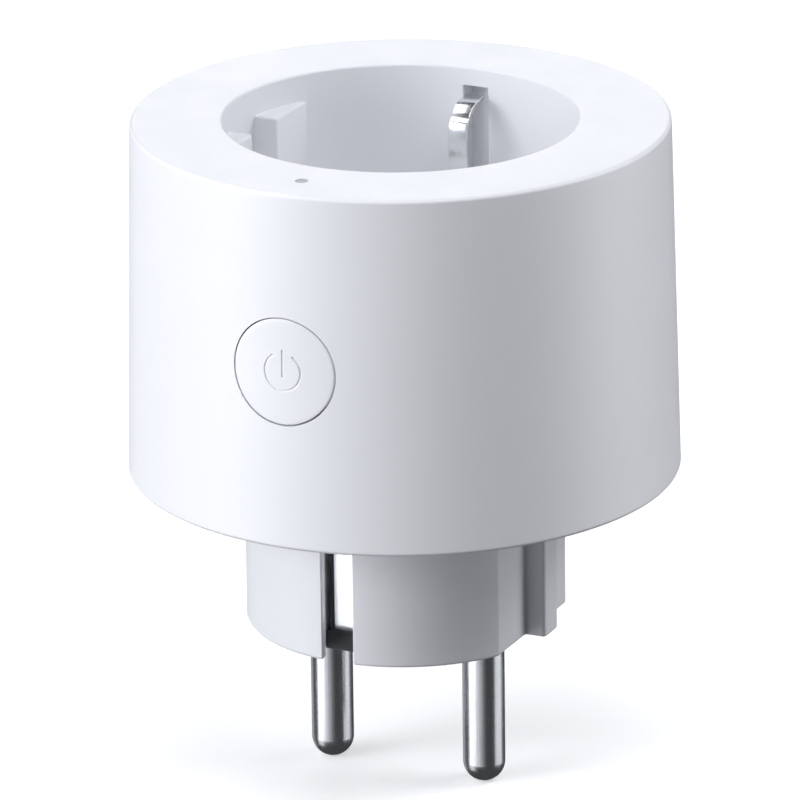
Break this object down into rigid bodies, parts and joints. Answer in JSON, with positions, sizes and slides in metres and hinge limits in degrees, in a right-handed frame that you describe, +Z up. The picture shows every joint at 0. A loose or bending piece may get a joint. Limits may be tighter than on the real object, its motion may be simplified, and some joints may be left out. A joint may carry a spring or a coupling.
{
  "type": "smart plug",
  "caption": "Round switchable smart plug: socket well with guide ribs and earth clips on top, side push button, light guide in the rim, two round pins and earth slots below.",
  "frame": {"origin": "centre of the plug's flat engagement face, between the roots of the two pins", "axes": "+Z up out of the socket well, pins along -Z on the X axis, push button towards -Y"},
  "size_m": [0.062, 0.062, 0.0774],
  "materials": {
    "shell_plastic": "fine satin, moulded",
    "plug_plastic": "fine satin, moulded",
    "button_plastic": "fine satin, moulded",
    "light_plastic": "clear moulded guide",
    "pin_plating": "nickel-plated brass",
    "strap_plating": "nickel-plated brass strip",
    "clip_plating": "nickel-plated spring bronze",
    "brass": "stamped",
    "copper": "stamped copper",
    "screw_steel": "zinc plated",
    "carrier_plastic": "glass-filled",
    "holder_plastic": "dark insulating insert",
    "shutter_plastic": "slippery acetal",
    "circuit_board": "solder mask",
    "module_board": "solder mask",
    "insulation": "pressed sheet",
    "relay_plastic": "moulded",
    "winding": "enamelled copper wire",
    "relay_iron": "nickel-plated iron",
    "capacitor_sleeve": "shrink sleeve",
    "film_case": "potted box",
    "varistor_coat": "dipped epoxy",
    "ferrite": "sintered",
    "resistor_coat": "cement coat",
    "chip_plastic": "moulded",
    "shield_tin": "tinned sheet",
    "plunger_plastic": "moulded",
    "led_lens": "clear epoxy"
  },
  "bodies": {
    "housing": {"outer_shell": "shell_plastic", "base_cover": "plug_plastic", "light_guide": "light_plastic", "live_pin": "pin_plating", "neutral_pin": "pin_plating", "front_earth_strap": "strap_plating", "rear_earth_strap": "strap_plating", "front_strap_holder": "holder_plastic", "rear_strap_holder": "holder_plastic", "earth_bridge": "brass", "earth_rivets": "screw_steel", "contact_carrier": "carrier_plastic", "live_contact": "brass", "neutral_contact": "brass", "contact_rings": "screw_steel", "live_busbar": "copper", "neutral_busbar": "copper", "shutter_spring": "screw_steel", "main_board": "circuit_board", "insulation_sheet": "insulation", "relay_base": "relay_plastic", "relay_cover": "relay_plastic", "relay_coil": "winding", "relay_yoke": "relay_iron", "relay_contacts": "brass", "bulk_capacitors": "capacitor_sleeve", "film_capacitor": "film_case", "varistor": "varistor_coat", "power_inductor": "ferrite", "fuse_resistor": "resistor_coat", "bridge_rectifier": "chip_plastic", "current_shunt": "copper", "converter_chip": "chip_plastic", "metering_chip": "chip_plastic", "thermal_cutoff": "insulation", "logic_board": "circuit_board", "board_header": "chip_plastic", "radio_module": "module_board", "radio_shield": "shield_tin", "tact_switch": "chip_plastic", "status_led": "led_lens", "cover_screws": "screw_steel", "carrier_screws": "screw_steel"},
    "button": {"button_cap": "button_plastic"},
    "switch_plunger": {"tact_plunger": "plunger_plastic"},
    "front_clip": {"front_earth_clip": "clip_plating"},
    "rear_clip": {"rear_earth_clip": "clip_plating"},
    "shutter_blade": {"shutter": "shutter_plastic"},
    "armature": {"relay_armature": "relay_iron"}
  },
  "joints": [
    {"name": "button_press", "type": "slide", "parent": "housing", "child": "button", "axis": [0, 1, 0], "range_m": [0, 0.00035], "stiffness_N_per_m": 600, "springref_m": -0.0008},
    {"name": "plunger_press", "type": "slide", "parent": "housing", "child": "switch_plunger", "axis": [0, 1, 0], "range_m": [0, 0.00035]},
    {"name": "shutter_turn", "type": "hinge", "parent": "housing", "child": "shutter_blade", "pos_m": [0, 0, 0.038], "axis": [0, 0, 1], "range_deg": [0, 30], "stiffness_Nm_per_rad": 0.002, "springref_deg": -17.19},
    {"name": "front_clip_flex", "type": "hinge", "parent": "housing", "child": "front_clip", "pos_m": [0, -0.01924, 0.039], "axis": [1, 0, 0], "range_deg": [0, 5], "stiffness_Nm_per_rad": 0.8, "springref_deg": -1.15},
    {"name": "rear_clip_flex", "type": "hinge", "parent": "housing", "child": "rear_clip", "pos_m": [0, 0.01924, 0.039], "axis": [-1, 0, 0], "range_deg": [0, 5], "stiffness_Nm_per_rad": 0.8, "springref_deg": -1.15},
    {"name": "armature_pull", "type": "hinge", "parent": "housing", "child": "armature", "pos_m": [-0.00675, 0.01395, 0.0318], "axis": [0, 1, 0], "range_deg": [0, 5], "stiffness_Nm_per_rad": 0.003, "springref_deg": -5.73}
  ],
  "couplings": [
    {"joint": "plunger_press", "follows": "button_press", "ratio": 1}
  ]
}
